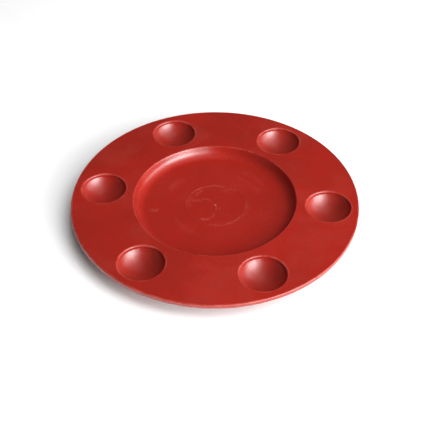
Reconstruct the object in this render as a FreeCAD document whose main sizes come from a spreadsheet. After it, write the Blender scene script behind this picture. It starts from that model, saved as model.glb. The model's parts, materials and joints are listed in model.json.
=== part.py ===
import FreeCAD, Part

import math
import os

import Sketcher

# Moulded blind flange: one thin-walled thermoplastic plate with a round central recess and a
# ring of bowl-shaped bolt pockets.
#
# Millimetres.  Z is the flange axis and the front face looks towards +Z.  Z = 0 is the level
# on which the flange stands when it lies face up on the tips of its pockets.  The first pocket
# lies on +X.

# What each driving dimension is called, its size in millimetres (or a count), and its meaning.
DIMENSIONS = [
    ("flange_dia", 200.0, "outside diameter of the plate"),
    ("plate_wall", 3.0, "thickness of the plate"),
    ("rim_round", 0.7, "rounding of the plate's front edge"),
    ("back_round", 0.5, "rounding of the plate's back edge"),
    ("recess_dia", 113.5, "central recess where its wall would meet the front face"),
    ("recess_depth", 7.4, "front face to recess floor"),
    ("recess_draft", 22.0, "lean of the recess wall from the flange axis, in degrees"),
    ("recess_corner", 7.0, "radius between recess wall and recess floor"),
    ("recess_mouth_round", 1.0, "rounding of the recess mouth"),
    ("floor_wall", 2.8, "wall under the recess floor and under each pocket"),
    ("side_wall", 2.0, "wall round the recess and round each pocket"),
    ("boss_corner", 9.4, "outside radius at the foot of the central boss"),
    ("root_round", 0.5, "radius where the boss and the pegs leave the back face"),
    ("pocket_count", 6, "number of bolt pockets"),
    ("pocket_circle_dia", 158.0, "circle through the pocket centres"),
    ("pocket_dia", 30.6, "short straight wall of a bolt pocket"),
    ("pocket_straight", 1.8, "front face to the foot of a pocket's straight wall"),
    ("pocket_depth", 11.4, "front face to the lowest point of a pocket"),
    ("pocket_mouth_round", 0.9, "rounding of a pocket's mouth"),
    ("peg_land", 1.6, "straight wall of a peg behind the back face"),
    ("peg_tip_dia", 8.0, "flat on the tip of a peg"),
    ("gate_dia", 1.8, "gate mark in the middle of the recess"),
    ("gate_rise", 0.3, "how far the gate mark stands up"),
    ("insert_ring_dia", 42.0, "witness line round the mould's centre insert"),
    ("insert_ring_width", 0.6, "width of the witness line"),
    ("insert_ring_rise", 0.1, "how far the witness line stands up"),
    ("ejector_dia", 8.0, "ejector pin mark on the back"),
    ("ejector_depth", 0.2, "depth of an ejector pin mark"),
    ("rim_ejector_circle_dia", 180.0, "circle of the ejector marks behind the rim"),
    ("boss_ejector_circle_dia", 70.0, "circle of the ejector marks on the boss"),
]

doc = FreeCAD.newDocument("blind_flange")
sheet = doc.addObject("Spreadsheet::Sheet", "sizes")
for row, (alias, size, meaning) in enumerate(DIMENSIONS, start=1):
    sheet.set(f"A{row}", str(size))
    sheet.setAlias(f"A{row}", alias)
    sheet.set(f"B{row}", meaning)

body = doc.addObject("PartDesign::Body", "blind_flange")
body.Label = "blind_flange"
body.Placement = FreeCAD.Placement()
doc.recompute()

# Levels on the flange axis, as formulas over the sheet.
STAND = "0"
FRONT = "(sizes.pocket_depth + sizes.floor_wall)"
BACK = f"({FRONT} - sizes.plate_wall)"
MID_PLATE = f"({FRONT} - sizes.plate_wall / 2)"
RECESS_FLOOR = f"({FRONT} - sizes.recess_depth)"
BOSS_FOOT = f"({RECESS_FLOOR} - sizes.floor_wall)"
BOWL_BOTTOM = f"({FRONT} - sizes.pocket_depth)"
BOWL_TOP = f"({FRONT} - sizes.pocket_straight)"
LAND_FOOT = f"({BACK} - sizes.peg_land)"

# Radii, from the flange axis or from a pocket's own axis.
AXIS = "0"
RIM = "(sizes.flange_dia / 2)"
LEAN = "tan(sizes.recess_draft * 1 deg)"
LEANING_WALL = "(sizes.side_wall / cos(sizes.recess_draft * 1 deg))"
RECESS = "(sizes.recess_dia / 2)"
RECESS_CORNER = f"({RECESS} - sizes.recess_depth * {LEAN})"
BOSS = f"({RECESS} - sizes.plate_wall * {LEAN} + {LEANING_WALL})"
BOSS_CORNER = f"({RECESS_CORNER} - sizes.floor_wall * {LEAN} + {LEANING_WALL})"
POCKET_CIRCLE = "(sizes.pocket_circle_dia / 2)"
POCKET = "(sizes.pocket_dia / 2)"
PEG = f"({POCKET} + sizes.side_wall)"
PEG_TIP = "(sizes.peg_tip_dia / 2)"
GATE = "(sizes.gate_dia / 2)"
RING_INSIDE = "(sizes.insert_ring_dia / 2 - sizes.insert_ring_width / 2)"
RING_OUTSIDE = "(sizes.insert_ring_dia / 2 + sizes.insert_ring_width / 2)"
HALF_PITCH = "(180 / sizes.pocket_count)"

# Geometry numbers that Sketcher gives to a sketch's origin and to its two axes.
ORIGIN = (-1, 1)
H_AXIS = -1
V_AXIS = -2
START, END, CENTRE = 1, 2, 3
TOUCHING = 1e-4


def number(formula):
    """The value of a formula in millimetres."""
    return float(body.evalExpression(formula))


def origin_feature(role):
    """One of the body's own origin planes or axes."""
    return next(feature for feature in body.Origin.OriginFeatures if feature.Role == role)


def new_sketch(name, plane, **offset):
    """An empty sketch on an origin plane, moved in its own frame by formulas for x, y or z."""
    sketch = body.newObject("Sketcher::SketchObject", name)
    sketch.AttachmentSupport = [(origin_feature(plane), "")]
    sketch.MapMode = "FlatFace"
    for direction, formula in offset.items():
        sketch.setExpression(f"AttachmentOffset.Base.{direction}", formula)
    sketch.Visibility = False
    doc.recompute()
    return sketch


def drive(sketch, kind, formula, *targets):
    """Adds a dimension to a sketch and ties it to a formula."""
    index = sketch.addConstraint(Sketcher.Constraint(kind, *targets, number(formula)))
    sketch.setExpression(f"Constraints[{index}]", formula)


def place_point(sketch, point, x, y):
    """Holds a point of a sketch at two formulas measured from the sketch's origin."""
    for kind, formula, axis in (("DistanceX", x, V_AXIS), ("DistanceY", y, H_AXIS)):
        if formula == "0":
            sketch.addConstraint(Sketcher.Constraint("PointOnObject", *point, axis))
        else:
            drive(sketch, kind, formula, *ORIGIN, *point)


def arc_about_axis(start, end):
    """An anticlockwise arc between two points whose centre lies on the sketch's vertical axis."""
    height = (end.Length**2 - start.Length**2) / (2 * (end.y - start.y))
    centre = FreeCAD.Vector(0, height, 0)
    circle = Part.Circle(centre, FreeCAD.Vector(0, 0, 1), start.distanceToPoint(centre))
    angles = [math.atan2(point.y - height, point.x) for point in (start, end)]
    return Part.ArcOfCircle(circle, *angles)


def draw_outline(sketch, corners, domed_edge=None):
    """Draws a closed outline through corners given as pairs of formulas.

    Every edge is straight except domed_edge, an arc about the sketch's vertical axis.
    """
    points = [FreeCAD.Vector(number(x), number(y), 0) for x, y in corners]
    for index, start in enumerate(points):
        end = points[(index + 1) % len(points)]
        curve = arc_about_axis(start, end) if index == domed_edge else Part.LineSegment(start, end)
        sketch.addGeometry(curve, False)
    for index, (x, y) in enumerate(corners):
        following = (index + 1) % len(corners)
        place_point(sketch, (index, START), x, y)
        sketch.addConstraint(Sketcher.Constraint("Coincident", index, END, following, START))
    if domed_edge is not None:
        sketch.addConstraint(Sketcher.Constraint("PointOnObject", domed_edge, CENTRE, V_AXIS))
    doc.recompute()


def draw_circle(sketch, radius, x=AXIS, y=AXIS):
    """Draws a circle from formulas for its radius and its centre."""
    centre = FreeCAD.Vector(number(x), number(y), 0)
    circle = Part.Circle(centre, FreeCAD.Vector(0, 0, 1), number(radius))
    index = sketch.addGeometry(circle, False)
    place_point(sketch, (index, CENTRE), x, y)
    drive(sketch, "Radius", radius, index)
    doc.recompute()


def turn(kind, name, sketch):
    """A full Revolution or Groove of an outline about its sketch's vertical axis."""
    feature = body.newObject(f"PartDesign::{kind}", name)
    feature.Profile = sketch
    feature.ReferenceAxis = (sketch, ["V_Axis"])
    feature.Angle = 360
    doc.recompute()
    return feature


def extrude(kind, name, sketch, depth, upside_down=False):
    """A Pad that rises, or a Pocket that sinks, from a sketch; upside_down turns it over."""
    feature = body.newObject(f"PartDesign::{kind}", name)
    feature.Profile = sketch
    feature.Reversed = upside_down
    feature.setExpression("Length", depth)
    doc.recompute()
    return feature


def repeat_round_axis(name, feature):
    """Repeats a feature evenly round the flange axis, once for each pocket."""
    pattern = body.newObject("PartDesign::PolarPattern", name)
    pattern.Originals = [feature]
    pattern.Axis = (origin_feature("Z_Axis"), [""])
    pattern.Angle = 360
    pattern.setExpression("Occurrences", "sizes.pocket_count")
    body.Tip = pattern
    doc.recompute()
    return pattern


def round_circles(name, radius, circles):
    """Rounds every full circle on the body that has one of the given (radius, level) pairs."""
    wanted = [(number(circle), number(level)) for circle, level in circles]
    edges = []
    for index, edge in enumerate(body.Tip.Shape.Edges, start=1):
        if edge.Degenerated or not edge.isClosed() or not isinstance(edge.Curve, Part.Circle):
            continue
        found = (edge.Curve.Radius, edge.Curve.Center.z)
        if any(math.dist(found, pair) < TOUCHING for pair in wanted):
            edges.append(f"Edge{index}")
    base = body.Tip
    fillet = body.newObject("PartDesign::Fillet", name)
    fillet.Base = (base, edges)
    fillet.setExpression("Radius", radius)
    doc.recompute()
    return fillet


def plate_with_recess():
    """The round plate, dished in the middle so that a shallow boss stands out behind it."""
    outline = new_sketch("plate_outline", "XZ_Plane")
    corners = [
        (AXIS, BOSS_FOOT),
        (BOSS_CORNER, BOSS_FOOT),
        (BOSS, BACK),
        (RIM, BACK),
        (RIM, FRONT),
        (RECESS, FRONT),
        (RECESS_CORNER, RECESS_FLOOR),
        (AXIS, RECESS_FLOOR),
    ]
    draw_outline(outline, corners)
    turn("Revolution", "plate", outline)


def pegs_behind_pockets():
    """A domed peg with a small flat tip behind every bolt pocket, solid until it is hollowed."""
    outline = new_sketch("peg_outline", "XZ_Plane", x=POCKET_CIRCLE)
    corners = [
        (AXIS, STAND),
        (PEG_TIP, STAND),
        (PEG, LAND_FOOT),
        (PEG, MID_PLATE),
        (AXIS, MID_PLATE),
    ]
    draw_outline(outline, corners, domed_edge=1)
    peg = turn("Revolution", "peg", outline)
    repeat_round_axis("pegs", peg)


def bowls_of_pockets():
    """The hollow of every bolt pocket: a short straight wall above a spherical bowl."""
    outline = new_sketch("bowl_outline", "XZ_Plane", x=POCKET_CIRCLE)
    corners = [
        (AXIS, BOWL_BOTTOM),
        (POCKET, BOWL_TOP),
        (POCKET, FRONT),
        (AXIS, FRONT),
    ]
    draw_outline(outline, corners, domed_edge=0)
    bowl = turn("Groove", "bowl", outline)
    repeat_round_axis("bowls", bowl)


def rounded_edges():
    """The radii of the mouldings: mouths, recess corner, rim, and the foot of each wall."""
    round_circles("recess_corners", "sizes.recess_corner", [(RECESS_CORNER, RECESS_FLOOR)])
    round_circles("boss_corners", "sizes.boss_corner", [(BOSS_CORNER, BOSS_FOOT)])
    round_circles("recess_mouth", "sizes.recess_mouth_round", [(RECESS, FRONT)])
    round_circles("pocket_mouths", "sizes.pocket_mouth_round", [(POCKET, FRONT)])
    round_circles("roots", "sizes.root_round", [(BOSS, BACK), (PEG, BACK)])
    round_circles("rim_front", "sizes.rim_round", [(RIM, FRONT)])
    round_circles("rim_back", "sizes.back_round", [(RIM, BACK)])


def mould_marks_on_floor():
    """The gate mark in the middle of the recess and the witness line round the mould insert."""
    outline = new_sketch("gate_outline", "XZ_Plane")
    corners = [
        (AXIS, f"{RECESS_FLOOR} - sizes.gate_rise"),
        (GATE, f"{RECESS_FLOOR} - sizes.gate_rise"),
        (GATE, RECESS_FLOOR),
        (AXIS, f"{RECESS_FLOOR} + sizes.gate_rise"),
    ]
    draw_outline(outline, corners)
    turn("Revolution", "gate_mark", outline)
    ring = new_sketch("insert_ring_outline", "XY_Plane", z=RECESS_FLOOR)
    draw_circle(ring, RING_INSIDE)
    draw_circle(ring, RING_OUTSIDE)
    extrude("Pad", "insert_ring", ring, "sizes.insert_ring_rise")


def ejector_marks(name, circle_dia, level):
    """A ring of shallow round ejector pin marks, between the pockets, in a face that looks down."""
    sketch = new_sketch(f"{name}_outline", "XY_Plane", z=level)
    radius = "sizes.ejector_dia / 2"
    x = f"{circle_dia} / 2 * cos({HALF_PITCH} * 1 deg)"
    y = f"{circle_dia} / 2 * sin({HALF_PITCH} * 1 deg)"
    draw_circle(sketch, radius, x, y)
    mark = extrude("Pocket", name, sketch, "sizes.ejector_depth", upside_down=True)
    repeat_round_axis(f"{name}s", mark)


def check_document():
    """Stops the build if any object failed or if the body isn't one sound solid."""
    doc.recompute()
    for item in doc.Objects:
        if "Invalid" in item.State or "Error" in item.State:
            raise RuntimeError(f"{item.Name} is {item.State}")
        if hasattr(item, "Shape") and (item.Shape.isNull() or not item.Shape.isValid()):
            raise RuntimeError(f"{item.Name} has no sound shape")
    if len(body.Shape.Solids) != 1:
        raise RuntimeError(f"{body.Label} has {len(body.Shape.Solids)} solids")


plate_with_recess()
pegs_behind_pockets()
bowls_of_pockets()
rounded_edges()
mould_marks_on_floor()
ejector_marks("rim_ejector_mark", "sizes.rim_ejector_circle_dia", BACK)
ejector_marks("boss_ejector_mark", "sizes.boss_ejector_circle_dia", BOSS_FOOT)
check_document()

os.makedirs("parts", exist_ok=True)
body.Shape.exportStep(f"parts/{body.Label}.step")
box = body.Shape.optimalBoundingBox(True, False)
print(body.Label, [round(v, 3) for v in (box.XMin, box.YMin, box.ZMin, box.XMax, box.YMax, box.ZMax)])
print("volume", round(body.Shape.Volume / 1000, 2), "cm3, faces", len(body.Shape.Faces))
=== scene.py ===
import json
import math

import bmesh
import bpy
from mathutils import Matrix, Vector


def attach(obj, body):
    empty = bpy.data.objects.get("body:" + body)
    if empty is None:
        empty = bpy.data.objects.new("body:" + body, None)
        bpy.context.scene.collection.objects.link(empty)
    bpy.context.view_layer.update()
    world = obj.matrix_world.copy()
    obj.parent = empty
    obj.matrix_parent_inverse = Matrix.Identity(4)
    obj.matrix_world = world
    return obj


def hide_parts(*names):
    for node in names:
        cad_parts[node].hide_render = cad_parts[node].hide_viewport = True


# Looks of a moulded blind flange: one red thermoplastic moulding, drawn as one closed mesh that
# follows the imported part, on a pale floor in soft studio light.  Metres, in the part's own
# frame: +Z is the flange axis, and the first pocket lies on +X.

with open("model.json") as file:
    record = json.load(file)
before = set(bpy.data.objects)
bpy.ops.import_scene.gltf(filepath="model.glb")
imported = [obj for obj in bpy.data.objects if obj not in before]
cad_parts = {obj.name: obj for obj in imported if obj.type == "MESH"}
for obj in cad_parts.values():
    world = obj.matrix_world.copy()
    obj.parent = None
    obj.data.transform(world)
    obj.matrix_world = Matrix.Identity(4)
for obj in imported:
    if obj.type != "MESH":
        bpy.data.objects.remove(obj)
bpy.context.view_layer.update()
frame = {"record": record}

MM = 0.001

# ---------------------------------------------------------------------------------------------
# Sizes.  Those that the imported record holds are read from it; the rest repeat the part's own.
# ---------------------------------------------------------------------------------------------
mounts = {mount["name"]: mount for mount in frame["record"]["mounts"]}
pocket_dims = mounts["pocket_circle"]["dims"]

FRONT = mounts["front_face"]["pos_m"][2]
BACK = mounts["back_face"]["pos_m"][2]
RIM_RADIUS = 100.0 * MM
RIM_ROUND = 0.7 * MM
BACK_ROUND = 0.5 * MM

# The recess has a leaning wall: its radii are where the wall would meet the flat faces, and a
# rounding of radius r takes ROUND_REACH * r of a flat face beside the wall.
RECESS_RADIUS = 56.75 * MM
RECESS_DEPTH = 7.4 * MM
RECESS_FLOOR = FRONT - RECESS_DEPTH
RECESS_DRAFT = 22.0
RECESS_CORNER = 7.0 * MM
RECESS_MOUTH_ROUND = 1.0 * MM
LEAN = math.tan(math.radians(RECESS_DRAFT))
ROUND_REACH = math.tan(math.radians((90 - RECESS_DRAFT) / 2))
RECESS_LIP = RECESS_RADIUS + RECESS_MOUTH_ROUND * ROUND_REACH
FLOOR_RADIUS = RECESS_RADIUS - RECESS_DEPTH * LEAN - RECESS_CORNER * ROUND_REACH

FLOOR_WALL = 2.8 * MM
SIDE_WALL = 2.0 * MM
LEANING_WALL = SIDE_WALL / math.cos(math.radians(RECESS_DRAFT))
BOSS_RADIUS = RECESS_RADIUS - (FRONT - BACK) * LEAN + LEANING_WALL
BOSS_FOOT = RECESS_FLOOR - FLOOR_WALL
BOSS_CORNER = 9.4 * MM
ROOT_ROUND = 0.5 * MM
BOSS_ROOT = BOSS_RADIUS + ROOT_ROUND * ROUND_REACH
BOSS_FLAT = BOSS_RADIUS - (BACK - BOSS_FOOT) * LEAN - BOSS_CORNER * ROUND_REACH

POCKET_COUNT = pocket_dims["count"]
POCKET_CIRCLE = pocket_dims["pcd_mm"] / 2 * MM
POCKET_RADIUS = pocket_dims["hole_r_mm"] * MM
POCKET_STRAIGHT = 1.8 * MM
POCKET_DEPTH = 11.4 * MM
POCKET_MOUTH_ROUND = 0.9 * MM
PEG_RADIUS = POCKET_RADIUS + SIDE_WALL
PEG_LAND = 1.6 * MM
PEG_TIP_RADIUS = 4.0 * MM

GATE_RADIUS = 0.9 * MM
GATE_RISE = 0.3 * MM
GATE_TAIL = 4.8 * MM
GATE_TAIL_TURN = math.radians(-83)
GATE_ROWS = (1.1, 1.4, 1.7, 2.1, 2.5, 3, 3.5, 4, 4.5, 5, 6, 8, 11, 15)
INSERT_RING_RADIUS = 21.0 * MM
INSERT_RING_WIDTH = 0.6 * MM
INSERT_RING_RISE = 0.1 * MM
EJECTOR_RADIUS = 4.0 * MM
EJECTOR_DEPTH = 0.2 * MM
RIM_EJECTOR_CIRCLE = 90.0 * MM
BOSS_EJECTOR_CIRCLE = 35.0 * MM

STEP = 2 * math.pi / POCKET_COUNT

# Colours, as linear red, green and blue.
BASE_RED = (0.27, 0.0085, 0.0040, 1)
DEEP_RED = (0.225, 0.0088, 0.0044, 1)
PALE_RED = (0.52, 0.13, 0.10, 1)
FLOOR_TONE = (0.90, 0.90, 0.90, 1)
FLOOR_LIGHT = (0.94, 0.94, 0.94, 1)
BASE_ROUGHNESS = 0.20
GLOSS_IOR = 1.65

# How far each mark turns the colour towards the pale red, and what it adds to the roughness.
DUST_TINT = 0.045
SPECKLE_TINT, SPECKLE_ROUGHNESS = 0.05, 0.04
FLOW_TINT, FLOW_ROUGHNESS = 0.34, 0.10
GATE_TINT = 0.42
POCKET_TINT, POCKET_ROUGHNESS = 0.035, 0.06
# The tint for worn edges also paints pale highlights along the rim's front edge and round the mouths.
WEAR_AND_HIGHLIGHT_TINT, WORN_ROUGHNESS = 0.34, 0.12
LINE_TINT, LINE_ROUGHNESS = 0.04, 0.10
BLOTCH_SHARE = 0.35

# Mesh edges along each feature.
OUTER_SPLITS = 64  # a pocket's share of an outer circle
INNER_SPLITS = 48  # a pocket's share of an inner circle
SIDE_SPLITS = 20
WEB_SPLITS = 9
ROUND_SPLITS = 6
CORNER_SPLITS = 14
WALL_SPLITS = 5
BOWL_SPLITS = 26
WELD = 0.5e-6


# ---------------------------------------------------------------------------------------------
# Mesh helpers: every patch is a grid of points, welded to its neighbours at the end
# ---------------------------------------------------------------------------------------------
class Patches:
    """Points and faces of patches that meet edge to edge."""

    def __init__(self):
        self.points = []
        self.faces = []

    def add_rows(self, rows):
        """Quads between successive closed rows of equally many points; a row of one is a pole."""
        for upper, lower in zip(rows, rows[1:]):
            first = len(self.points)
            self.points += upper + lower
            width = max(len(upper), len(lower))
            for column in range(width):
                following = (column + 1) % width
                corners = []
                for row, start in ((upper, first), (lower, first + len(upper))):
                    pair = [column, following] if row is upper else [following, column]
                    corners += [start + (index if len(row) > 1 else 0) for index in pair]
                self.faces.append(list(dict.fromkeys(corners)))

    def to_object(self, name):
        """One welded object with its normals outward."""
        mesh = bpy.data.meshes.new(name)
        mesh.from_pydata(self.points, [], self.faces)
        solid = bmesh.new()
        solid.from_mesh(mesh)
        bmesh.ops.remove_doubles(solid, verts=solid.verts, dist=WELD)
        bmesh.ops.recalc_face_normals(solid, faces=solid.faces)
        solid.to_mesh(mesh)
        solid.free()
        piece = bpy.data.objects.new(name, mesh)
        bpy.context.scene.collection.objects.link(piece)
        return piece


def circle(radius, height, angles):
    """A closed row of points about the origin, or a pole where the radius is nothing."""
    if radius == 0:
        return [Vector((0, 0, height))]
    return [Vector((radius * math.cos(a), radius * math.sin(a), height)) for a in angles]


def even_angles(count):
    return [2 * math.pi * index / count for index in range(count)]


def arc(centre_r, centre_z, radius, start, end, splits):
    """Profile points (r, z) along an arc between two angles in degrees from the +r direction."""
    angles = [math.radians(start + (end - start) * k / splits) for k in range(splits + 1)]
    return [(centre_r + radius * math.cos(a), centre_z + radius * math.sin(a)) for a in angles]


def between(start, end, splits):
    """Profile points that divide the straight line between two others."""
    shares = [k / splits for k in range(1, splits)]
    return [tuple(a + (b - a) * share for a, b in zip(start, end)) for share in shares]


def lathe(patches, profile, angles, turn=0.0, shift=0.0):
    """A profile turned about an axis that stands shift from the flange axis, at angle turn."""
    place = Matrix.Rotation(turn, 4, "Z") @ Matrix.Translation((shift, 0, 0))
    rows = [circle(radius, height, angles) for radius, height in profile]
    patches.add_rows([[place @ point for point in row] for row in rows])


def sector_outline(half_angle, inner, inner_splits, outer, outer_splits, height):
    """The closed outline of a piece of a flat ring, anticlockwise from its outer first corner."""

    def polar(radius, angle):
        return Vector((radius * math.cos(angle), radius * math.sin(angle), height))

    points = []
    for k in range(outer_splits):
        points.append(polar(outer, half_angle * (2 * k / outer_splits - 1)))
    for k in range(SIDE_SPLITS):
        points.append(polar(outer + (inner - outer) * k / SIDE_SPLITS, half_angle))
    for k in range(inner_splits):
        points.append(polar(inner, half_angle * (1 - 2 * k / inner_splits)))
    for k in range(SIDE_SPLITS):
        points.append(polar(inner + (outer - inner) * k / SIDE_SPLITS, -half_angle))
    return points


def sector_with_hole(patches, turn, outline, hole_circle, hole_radius):
    """A flat sector round a hole.  Returns the angles of the points on the hole's edge."""
    centre = Vector((hole_circle, 0, outline[0].z))
    angles = [math.atan2(point.y, point.x - hole_circle) for point in outline]
    hole = [
        centre + Vector((hole_radius * math.cos(a), hole_radius * math.sin(a), 0)) for a in angles
    ]
    rotation = Matrix.Rotation(turn, 4, "Z")
    rows = []
    for k in range(WEB_SPLITS + 1):
        share = (k / WEB_SPLITS) ** 1.4
        rows.append([rotation @ edge.lerp(far, share) for edge, far in zip(hole, outline)])
    patches.add_rows(rows)
    return angles


# ---------------------------------------------------------------------------------------------
# The moulding
# ---------------------------------------------------------------------------------------------
def front_recess(patches):
    """The dished middle: gate mark, floor with the insert's witness line, corner and wall."""
    half_line = INSERT_RING_WIDTH / 2
    line_top = RECESS_FLOOR + INSERT_RING_RISE
    profile = [
        (0, RECESS_FLOOR + GATE_RISE),
        (GATE_RADIUS * 0.35, RECESS_FLOOR + GATE_RISE),
        (GATE_RADIUS * 0.7, RECESS_FLOOR + GATE_RISE * 0.7),
        (GATE_RADIUS, RECESS_FLOOR),
    ]
    profile += [(radius * MM, RECESS_FLOOR) for radius in GATE_ROWS]
    profile += [
        (INSERT_RING_RADIUS - half_line, RECESS_FLOOR),
        (INSERT_RING_RADIUS - half_line / 2, line_top),
        (INSERT_RING_RADIUS + half_line / 2, line_top),
        (INSERT_RING_RADIUS + half_line, RECESS_FLOOR),
    ]
    profile += [(radius * MM, RECESS_FLOOR) for radius in (23, 28, 34, 40, 45)]
    foot = arc(
        FLOOR_RADIUS,
        RECESS_FLOOR + RECESS_CORNER,
        RECESS_CORNER,
        -90,
        -RECESS_DRAFT,
        CORNER_SPLITS,
    )
    lip = arc(
        RECESS_LIP,
        FRONT - RECESS_MOUTH_ROUND,
        RECESS_MOUTH_ROUND,
        180 - RECESS_DRAFT,
        90,
        ROUND_SPLITS,
    )
    profile += foot + between(foot[-1], lip[0], WALL_SPLITS) + lip
    lathe(patches, profile, even_angles(INNER_SPLITS * POCKET_COUNT))


def front_rim(patches):
    """The flat front face, a sector for each pocket, with the pockets themselves."""
    outline = sector_outline(
        STEP / 2,
        RECESS_LIP,
        INNER_SPLITS,
        RIM_RADIUS - RIM_ROUND,
        OUTER_SPLITS,
        FRONT,
    )
    bowl_rise = POCKET_DEPTH - POCKET_STRAIGHT
    bowl_radius = (POCKET_RADIUS**2 + bowl_rise**2) / (2 * bowl_rise)
    bowl_centre = FRONT - POCKET_DEPTH + bowl_radius
    bowl_edge = -math.degrees(math.asin((bowl_radius - bowl_rise) / bowl_radius))
    mouth = POCKET_RADIUS + POCKET_MOUTH_ROUND
    profile = arc(
        mouth, FRONT - POCKET_MOUTH_ROUND, POCKET_MOUTH_ROUND, 90, 180, 2 * ROUND_SPLITS
    )
    profile += arc(0, bowl_centre, bowl_radius, bowl_edge, -89, BOWL_SPLITS)
    profile.append((0, FRONT - POCKET_DEPTH))
    for index in range(POCKET_COUNT):
        turn = index * STEP
        angles = sector_with_hole(patches, turn, outline, POCKET_CIRCLE, mouth)
        lathe(patches, profile, angles, turn, POCKET_CIRCLE)


def rim_edge(patches):
    """The plate's thin outer edge with its rounded corners."""
    profile = arc(RIM_RADIUS - RIM_ROUND, FRONT - RIM_ROUND, RIM_ROUND, 90, 0, ROUND_SPLITS)
    profile += arc(RIM_RADIUS - BACK_ROUND, BACK + BACK_ROUND, BACK_ROUND, 0, -90, ROUND_SPLITS)
    lathe(patches, profile, even_angles(OUTER_SPLITS * POCKET_COUNT), turn=-STEP / 2)


def ejector_mark(patches, turn, outline, ring, level):
    """A shallow round pin mark sunk into a face that looks down."""
    angles = sector_with_hole(patches, turn, outline, ring, EJECTOR_RADIUS)
    depth = level + EJECTOR_DEPTH
    profile = [(EJECTOR_RADIUS, level), (EJECTOR_RADIUS, depth), (EJECTOR_RADIUS / 2, depth)]
    profile.append((0, depth))
    lathe(patches, profile, angles, turn, ring)


def back_of_rim(patches):
    """The flat back face with the pegs, and an ejector mark between each two of them."""
    outline = sector_outline(
        STEP / 4,
        BOSS_ROOT,
        INNER_SPLITS // 2,
        RIM_RADIUS - BACK_ROUND,
        OUTER_SPLITS // 2,
        BACK,
    )
    land_foot = BACK - PEG_LAND
    dome_centre = (PEG_RADIUS**2 + land_foot**2 - PEG_TIP_RADIUS**2) / (2 * land_foot)
    dome_radius = math.hypot(PEG_TIP_RADIUS, dome_centre)
    dome_top = -math.degrees(math.asin((dome_centre - land_foot) / dome_radius))
    dome_foot = -math.degrees(math.acos(PEG_TIP_RADIUS / dome_radius))
    profile = arc(PEG_RADIUS + ROOT_ROUND, BACK - ROOT_ROUND, ROOT_ROUND, 90, 180, ROUND_SPLITS)
    profile += arc(0, dome_centre, dome_radius, dome_top, dome_foot, BOWL_SPLITS)
    profile += [(PEG_TIP_RADIUS / 2, 0), (0, 0)]
    for index in range(POCKET_COUNT):
        turn = index * STEP
        hole = PEG_RADIUS + ROOT_ROUND
        angles = sector_with_hole(patches, turn, outline, POCKET_CIRCLE, hole)
        lathe(patches, profile, angles, turn, POCKET_CIRCLE)
        ejector_mark(patches, turn + STEP / 2, outline, RIM_EJECTOR_CIRCLE, BACK)


def boss(patches):
    """The back of the dished middle, with its own ring of ejector marks."""
    inside = BOSS_EJECTOR_CIRCLE - 11 * MM
    outside = BOSS_EJECTOR_CIRCLE + 11 * MM
    angles = even_angles(INNER_SPLITS * POCKET_COUNT)
    root = arc(BOSS_ROOT, BACK - ROOT_ROUND, ROOT_ROUND, 90, 180 - RECESS_DRAFT, ROUND_SPLITS)
    foot = arc(
        BOSS_FLAT, BOSS_FOOT + BOSS_CORNER, BOSS_CORNER, -RECESS_DRAFT, -90, CORNER_SPLITS
    )
    profile = root + between(root[-1], foot[0], WALL_SPLITS) + foot
    profile.append((outside, BOSS_FOOT))
    lathe(patches, profile, angles)
    outline = sector_outline(STEP / 2, inside, INNER_SPLITS, outside, INNER_SPLITS, BOSS_FOOT)
    for index in range(POCKET_COUNT):
        ejector_mark(patches, (index + 0.5) * STEP, outline, BOSS_EJECTOR_CIRCLE, BOSS_FOOT)
    profile = [(radius * MM, BOSS_FOOT) for radius in (24, 16, 9, 4, 1.5)]
    profile[0] = (inside, BOSS_FOOT)
    profile.append((0, BOSS_FOOT))
    lathe(patches, profile, angles)


def draw_out_gate_tail(mesh):
    """The thin tail that the gate left on the floor where it broke off, tapering from the mark."""
    for vertex in mesh.vertices:
        reach = math.hypot(vertex.co.x, vertex.co.y)
        if not GATE_RADIUS <= reach + WELD <= GATE_TAIL or abs(vertex.co.z - RECESS_FLOOR) > WELD:
            continue
        turn = math.atan2(vertex.co.y, vertex.co.x) - GATE_TAIL_TURN
        left = 1 - reach * math.cos(turn) / GATE_TAIL
        half_width = GATE_RADIUS * (0.25 + 0.5 * left)
        aside = abs(reach * math.sin(turn)) / half_width
        if math.cos(turn) > 0 and aside < 1:
            vertex.co.z += GATE_RISE * 0.8 * left * (1 - aside**2)


def build_moulding():
    """The whole flange as one closed mesh."""
    patches = Patches()
    front_recess(patches)
    front_rim(patches)
    rim_edge(patches)
    back_of_rim(patches)
    boss(patches)
    piece = patches.to_object("flange_moulding")
    draw_out_gate_tail(piece.data)
    piece.data.shade_smooth()
    piece.data.set_sharp_from_angle(angle=math.radians(32))
    weighted = piece.modifiers.new("weighted_normals", "WEIGHTED_NORMAL")
    weighted.weight = 100
    weighted.keep_sharp = True
    return piece


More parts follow.
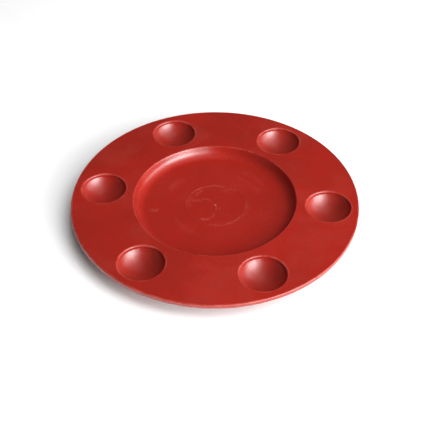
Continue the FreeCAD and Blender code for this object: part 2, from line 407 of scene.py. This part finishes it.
# ---------------------------------------------------------------------------------------------
# Materials.  Inside a material, lengths are millimetres in the part's own frame.
# ---------------------------------------------------------------------------------------------
class Graph:
    """Short forms for building one material's nodes."""

    def __init__(self, name):
        self.material = bpy.data.materials.new(name)
        self.material.use_nodes = True
        self.tree = self.material.node_tree
        self.shader = self.tree.nodes["Principled BSDF"]
        coordinates = self.tree.nodes.new("ShaderNodeTexCoord")
        self.place = self.vector("SCALE", coordinates.outputs["Object"], scale=1 / MM)

    def feed(self, socket, source):
        """Gives an input socket either a number, a colour or another node's output."""
        if isinstance(source, bpy.types.NodeSocket):
            self.tree.links.new(source, socket)
        else:
            socket.default_value = source

    def math(self, operation, *sources):
        node = self.tree.nodes.new("ShaderNodeMath")
        node.operation = operation
        for socket, source in zip(node.inputs, sources):
            self.feed(socket, source)
        return node.outputs["Value"]

    def vector(self, operation, *sources, scale=None):
        node = self.tree.nodes.new("ShaderNodeVectorMath")
        node.operation = operation
        for socket, source in zip(node.inputs, sources):
            self.feed(socket, source)
        if scale is not None:
            node.inputs["Scale"].default_value = scale
        scalar = operation in ("LENGTH", "DISTANCE", "DOT_PRODUCT")
        return node.outputs["Value" if scalar else "Vector"]

    def split(self, vector):
        node = self.tree.nodes.new("ShaderNodeSeparateXYZ")
        self.feed(node.inputs["Vector"], vector)
        return node.outputs["X"], node.outputs["Y"], node.outputs["Z"]

    def join(self, x, y, z):
        node = self.tree.nodes.new("ShaderNodeCombineXYZ")
        for socket, source in zip(node.inputs, (x, y, z)):
            self.feed(socket, source)
        return node.outputs["Vector"]

    def turned(self, angle, stretch=(1, 1, 1), shift=(0, 0, 0)):
        """The place turned about the flange axis by degrees, then stretched along its axes."""
        node = self.tree.nodes.new("ShaderNodeMapping")
        node.vector_type = "TEXTURE"
        node.inputs["Location"].default_value = shift
        node.inputs["Rotation"].default_value = (0, 0, math.radians(angle))
        node.inputs["Scale"].default_value = stretch
        self.feed(node.inputs["Vector"], self.place)
        return node.outputs["Vector"]

    def noise(self, size, detail=2.0, vector=None, distortion=0.0, roughness=0.5):
        """Cloudy noise from 0 to 1 whose lumps are about size across."""
        node = self.tree.nodes.new("ShaderNodeTexNoise")
        self.feed(node.inputs["Vector"], vector or self.place)
        node.inputs["Scale"].default_value = 1 / size
        node.inputs["Detail"].default_value = detail
        node.inputs["Roughness"].default_value = roughness
        node.inputs["Distortion"].default_value = distortion
        return node.outputs["Fac"]

    def ramp(self, source, start, end, low=0.0, high=1.0):
        """Follows source smoothly from low at start to high at end, and level beyond them."""
        node = self.tree.nodes.new("ShaderNodeMapRange")
        node.interpolation_type = "SMOOTHSTEP"
        for name, value in (
            ("Value", source),
            ("From Min", start),
            ("From Max", end),
            ("To Min", low),
            ("To Max", high),
        ):
            self.feed(node.inputs[name], value)
        return node.outputs["Result"]

    def near(self, source, centre, reach):
        """One where source equals centre, falling smoothly to nothing at reach from it."""
        away = self.math("ABSOLUTE", self.math("SUBTRACT", source, centre))
        return self.ramp(away, 0, reach, 1, 0)

    def blend(self, amount, colour, other):
        node = self.tree.nodes.new("ShaderNodeMix")
        node.data_type = "RGBA"
        self.feed(node.inputs["Factor"], amount)
        self.feed(node.inputs["A"], colour)
        self.feed(node.inputs["B"], other)
        return node.outputs["Result"]

    def total(self, *sources):
        result = sources[0]
        for source in sources[1:]:
            result = self.math("ADD", result, source)
        return result

    def product(self, *sources):
        result = sources[0]
        for source in sources[1:]:
            result = self.math("MULTIPLY", result, source)
        return result

    def bump(self, height, distance, normal=None):
        """A normal disturbed by a height from 0 to 1 that stands for a distance in metres."""
        node = self.tree.nodes.new("ShaderNodeBump")
        node.inputs["Strength"].default_value = 1.0
        node.inputs["Distance"].default_value = distance
        self.feed(node.inputs["Height"], height)
        if normal is not None:
            self.feed(node.inputs["Normal"], normal)
        return node.outputs["Normal"]


# Pale flow marks that the melt left round the gate, in a frame turned by FLOW_TURN degrees:
# arcs given by the centre and radius of their circle in millimetres, the degrees that they run
# from and to, their half width and their strength.
FLOW_TURN = 7.3
FLOW_MARKS = [
    (-7.0, -8.2, 6.4, -125, -50, 1.9, 0.75),
    (-7.0, -8.2, 6.4, -85, 10, 1.6, 0.35),
    (-13.0, -8.5, 13.3, 68, 112, 1.9, 0.4),
    (-8.0, 1.0, 5.3, 5, 115, 1.8, 0.35),
    (-7.0, 9.5, 5.8, 95, 190, 1.7, 0.45),
    (-8.0, -2.5, 9.0, -24, 12, 1.2, 0.5),
    (0.0, -3.8, 3.2, -30, 30, 1.1, 0.45),
    (11.0, 9.0, 7.0, 40, 150, 3.5, 0.2),
    (0.0, 0.0, 20.4, 58, 152, 2.0, 0.35),
    (0.0, 0.0, 19.0, 150, 190, 3.4, 0.3),
    (0.0, 0.0, 20.4, -125, -50, 2.0, 0.2),
    (0.0, 0.0, 21.4, -70, -28, 2.6, 0.18),
    (0.0, 0.0, 22.5, -40, 14, 3.0, 0.2),
    (-43.0, -25.0, 20.0, 77, 102, 3.4, 0.32),
    (0.0, 0.0, 36.0, 124, 156, 4.0, 0.18),
    (0.0, 0.0, 32.0, 222, 242, 4.0, 0.15),
    (0.0, 0.0, 41.0, 28, 66, 3.6, 0.16),
    (0.0, 0.0, 34.0, 15, 75, 2.4, 0.14),
    (0.0, 0.0, 31.0, 200, 255, 2.2, 0.14),
]


def flow_marks(graph, level):
    """How strongly a place on the recess floor shows one of the pale flow marks."""
    x, y, z = graph.split(graph.turned(FLOW_TURN))
    wander = graph.product(graph.math("SUBTRACT", graph.noise(7, 2), 0.5), 2.4)
    patchy = graph.ramp(graph.noise(6, 3, distortion=0.6), 0.36, 0.62, 0.35, 1)
    marks = 0.0
    for centre_x, centre_y, radius, start, end, half_width, strength in FLOW_MARKS:
        away = graph.join(
            graph.math("SUBTRACT", x, centre_x), graph.math("SUBTRACT", y, centre_y), 0
        )
        distance = graph.math("ADD", graph.vector("LENGTH", away), wander)
        middle = math.radians((start + end) / 2)
        facing = graph.vector("NORMALIZE", away)
        along = graph.vector("DOT_PRODUCT", facing, (math.cos(middle), math.sin(middle), 0))
        reach = math.radians((end - start) / 2)
        within = graph.ramp(along, math.cos(reach), math.cos(reach * 0.45))
        mark = graph.product(graph.near(distance, radius, half_width), within, strength)
        marks = graph.math("MAXIMUM", marks, mark)
    on_floor = graph.near(z, level, 1.5)
    return graph.product(marks, patchy, on_floor)


def pocket_distance(graph):
    """The distance of a place from the axis of the nearest pocket."""
    x, y, _ = graph.split(graph.place)
    radius = graph.vector("LENGTH", graph.join(x, y, 0))
    turn = graph.math("ARCTAN2", y, x)
    share = graph.math("WRAP", turn, STEP / 2, -STEP / 2)
    across = graph.product(radius, graph.math("SINE", share))
    along = graph.product(radius, graph.math("COSINE", share))
    along = graph.math("SUBTRACT", along, POCKET_CIRCLE / MM)
    return radius, graph.vector("LENGTH", graph.join(across, along, 0))


def worn_and_highlit_edges(graph, radius, from_pocket):
    """How far a place is worn and carries a painted highlight: along the rim's front edge and round
    the mouths.
    """
    z = graph.split(graph.place)[2]
    front = FRONT / MM
    rim_edge_band = graph.near(radius, (RIM_RADIUS - RIM_ROUND / 2) / MM, 1.1)
    recess_lip = graph.near(radius, (RECESS_LIP - RECESS_MOUTH_ROUND * 0.4) / MM, 0.9)
    recess_band = graph.product(recess_lip, 0.5)
    pocket_band = graph.near(from_pocket, (POCKET_RADIUS + POCKET_MOUTH_ROUND * 0.5) / MM, 1.3)
    bands = graph.math("MAXIMUM", graph.math("MAXIMUM", rim_edge_band, recess_band), pocket_band)
    high = graph.ramp(z, front - 1.6, front - 0.4)
    patchiness = graph.ramp(graph.noise(9, 4, roughness=0.65), 0.38, 0.66, 0.15, 1)
    return graph.product(bands, high, patchiness)


def scratches(graph):
    """Fine random hairlines in a few directions."""
    lines = 0.0
    for index, angle in enumerate((17, 71, 128, 160)):
        grain = graph.turned(angle, stretch=(26, 0.22, 4), shift=(11 * index, 5 * index, 0))
        streak = graph.noise(1, 1, vector=grain)
        place = graph.ramp(graph.noise(16, 1, vector=graph.turned(angle + 40)), 0.52, 0.66)
        line = graph.product(graph.ramp(streak, 0.70, 0.80), place)
        lines = graph.math("MAXIMUM", lines, line)
    return lines


def red_plastic():
    """Semi-gloss red thermoplastic with moulding marks, light handling wear with painted edge
    highlights, and hairlines.
    """
    graph = Graph("red_moulded_plastic")
    shader = graph.shader
    radius, from_pocket = pocket_distance(graph)
    floor_level = RECESS_FLOOR / MM

    clouds = graph.noise(34, 3, distortion=0.4, roughness=0.55)
    blotches = graph.ramp(graph.noise(13, 2, distortion=0.8), 0.50, 0.68)
    speckle = graph.noise(0.9, 2)
    marks = flow_marks(graph, floor_level)
    wear_and_highlight = worn_and_highlit_edges(graph, radius, from_pocket)
    lines = scratches(graph)
    gate = graph.near(radius, 0, 1.8)
    in_pocket = graph.ramp(from_pocket, POCKET_RADIUS / MM - 2, POCKET_RADIUS / MM, 1, 0)
    on_rim = graph.ramp(radius, 48, 62, 0.45, 1)
    dust = graph.ramp(graph.noise(26, 4, distortion=0.5), 0.44, 0.70)

    colour = graph.blend(graph.product(graph.ramp(clouds, 0.70, 0.30), on_rim), BASE_RED, DEEP_RED)
    colour = graph.blend(graph.product(blotches, on_rim, BLOTCH_SHARE), colour, DEEP_RED)
    colour = graph.blend(graph.product(dust, on_rim, DUST_TINT), colour, PALE_RED)
    colour = graph.blend(graph.product(speckle, SPECKLE_TINT), colour, PALE_RED)
    colour = graph.blend(graph.product(marks, FLOW_TINT), colour, PALE_RED)
    colour = graph.blend(graph.product(gate, GATE_TINT), colour, PALE_RED)
    colour = graph.blend(graph.product(in_pocket, POCKET_TINT), colour, PALE_RED)
    # Pale bands on the rim's edge and round the mouths: wear, and a painted highlight.
    colour = graph.blend(graph.product(wear_and_highlight, WEAR_AND_HIGHLIGHT_TINT), colour, PALE_RED)
    colour = graph.blend(graph.product(lines, LINE_TINT), colour, PALE_RED)
    graph.feed(shader.inputs["Base Color"], colour)

    haze = graph.ramp(graph.noise(22, 4, roughness=0.6), 0.30, 0.72, 0.0, 0.05)
    roughness = graph.total(
        BASE_ROUGHNESS,
        haze,
        graph.product(in_pocket, POCKET_ROUGHNESS),
        graph.product(speckle, SPECKLE_ROUGHNESS),
        graph.product(marks, FLOW_ROUGHNESS),
        graph.product(wear_and_highlight, WORN_ROUGHNESS),
        graph.product(lines, LINE_ROUGHNESS),
    )
    graph.feed(shader.inputs["Roughness"], roughness)
    shader.inputs["IOR"].default_value = GLOSS_IOR

    waviness = graph.bump(graph.noise(24, 1), 0.16 * MM)
    ripple_wave = graph.math("SINE", graph.product(radius, 2 * math.pi / 3.4))
    on_floor = graph.ramp(radius, 44, 50, 1, 0)
    ripples = graph.math("MULTIPLY_ADD", graph.product(ripple_wave, on_floor), 0.5, 0.5)
    rings = graph.bump(ripples, 0.006 * MM, waviness)
    texture = graph.bump(graph.noise(1.3, 3, roughness=0.6), 0.014 * MM, rings)
    raised = graph.bump(graph.math("SUBTRACT", marks, graph.product(lines, 0.15)), 0.03 * MM, texture)
    graph.feed(shader.inputs["Normal"], raised)
    return graph.material


def pale_floor():
    """Matt off-white paper with a faint tooth."""
    graph = Graph("studio_floor")
    shader = graph.shader
    tone = graph.noise(60, 2)
    graph.feed(shader.inputs["Base Color"], graph.blend(tone, FLOOR_TONE, FLOOR_LIGHT))
    graph.feed(shader.inputs["Roughness"], graph.ramp(graph.noise(3, 2), 0.3, 0.7, 0.78, 0.88))
    graph.feed(shader.inputs["Normal"], graph.bump(graph.noise(0.8, 3), 0.02 * MM))
    return graph.material


# ---------------------------------------------------------------------------------------------
# Studio: floor, lights and camera
# ---------------------------------------------------------------------------------------------
FOCAL_LENGTH = 73.4233  # millimetres, like the sensor's width
SENSOR = 36.0
CAMERA_AZIMUTH = math.radians(7.26)
CAMERA_ELEVATION = math.radians(41.85)
CAMERA_DISTANCE = 6.123 * RIM_RADIUS
CAMERA_DIP = math.radians(1.166)
CAMERA_ROLL = math.radians(-0.27)

# Lights: degrees from the camera's azimuth and above the floor, and brightness as radiance.
LIGHT_DISTANCE = 1.3
PANE_WIDTH = 20
WINDOW_PANES = [(20, 4.0), (40, 13.2), (60, 11.5), (80, 4.4), (100, 2.6)]
WINDOW_ROWS = [(15, 24, 1.0), (33, 12, 0.5), (48, 18, 0.12)]  # elevation, height, share
HIGH_AZIMUTH, HIGH_ELEVATION, HIGH_SPREAD = 75, 68, 50
HIGH_LIGHT = 3.9
ROOM_FILL = 0.05

# The floor lies a hair below the pegs' tips, so that no two faces share a plane.
STUDIO_HALF = 3.0
STUDIO_LEVEL = -0.05 * MM


def studio_floor():
    mesh = bpy.data.meshes.new("studio_floor")
    half = STUDIO_HALF
    corners = [(-half, -half), (half, -half), (half, half), (-half, half)]
    corners = [(x, y, STUDIO_LEVEL) for x, y in corners]
    mesh.from_pydata(corners, [], [(0, 1, 2, 3)])
    floor = bpy.data.objects.new("studio_floor", mesh)
    bpy.context.scene.collection.objects.link(floor)
    mesh.materials.append(pale_floor())


def toward(azimuth, elevation):
    """The unit vector from the part towards a place at an azimuth from the camera's, turned
    anticlockwise as seen from above, and at an elevation, both in radians."""
    turn = azimuth + CAMERA_AZIMUTH
    return Vector(
        (
            math.sin(turn) * math.cos(elevation),
            -math.cos(turn) * math.cos(elevation),
            math.sin(elevation),
        )
    )


def softbox(name, azimuth, elevation, width, height, brightness):
    """A soft rectangular light that faces the part; its angles and its size are in degrees.

    Its brightness is its radiance, so a wider box gives more light but no brighter highlight.
    """
    light = bpy.data.lights.new(name, "AREA")
    light.shape = "RECTANGLE"
    light.size = 2 * LIGHT_DISTANCE * math.tan(math.radians(width / 2))
    light.size_y = 2 * LIGHT_DISTANCE * math.tan(math.radians(height / 2))
    light.energy = brightness * math.pi * light.size * light.size_y
    lamp = bpy.data.objects.new(name, light)
    bpy.context.scene.collection.objects.link(lamp)
    target = Vector((0, 0, FRONT))
    lamp.location = target + toward(math.radians(azimuth), math.radians(elevation)) * LIGHT_DISTANCE
    lamp.rotation_euler = (target - lamp.location).to_track_quat("-Z", "Y").to_euler()
    return lamp


def camera():
    target = Vector((0, 0, FRONT))
    lens = bpy.data.cameras.new("camera")
    lens.sensor_width = SENSOR
    lens.lens = FOCAL_LENGTH
    eye = bpy.data.objects.new("camera", lens)
    bpy.context.scene.collection.objects.link(eye)
    eye.location = target + toward(0, CAMERA_ELEVATION) * CAMERA_DISTANCE
    level = (target - eye.location).to_track_quat("-Z", "Y").to_matrix().to_4x4()
    dip = Matrix.Rotation(-CAMERA_DIP, 4, "X")
    roll = Matrix.Rotation(CAMERA_ROLL, 4, "Z")
    eye.matrix_world = Matrix.Translation(eye.location) @ level @ dip @ roll
    bpy.context.scene.camera = eye


def studio_lights():
    """A broad window light from the right of the camera, which fades upwards and at its sides.

    The high light only brightens: it isn't mirrored, so the bowls show the window alone.
    """
    for azimuth, brightness in WINDOW_PANES:
        for elevation, height, share in WINDOW_ROWS:
            name = f"window_{azimuth}_{elevation}"
            softbox(name, azimuth, elevation, PANE_WIDTH, height, brightness * share)
    high_light = softbox(
        "high_light", HIGH_AZIMUTH, HIGH_ELEVATION, HIGH_SPREAD, HIGH_SPREAD, HIGH_LIGHT
    )
    high_light.visible_glossy = False
    world = bpy.data.worlds.new("studio")
    world.use_nodes = True
    world.node_tree.nodes["Background"].inputs["Color"].default_value = (1, 1, 1, 1)
    world.node_tree.nodes["Background"].inputs["Strength"].default_value = ROOM_FILL
    bpy.context.scene.world = world


scene = bpy.context.scene
scene.view_settings.view_transform = "Standard"

moulding = build_moulding()
moulding.data.materials.append(red_plastic())
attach(moulding, "root")
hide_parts("blind_flange")

studio_floor()
studio_lights()
camera()
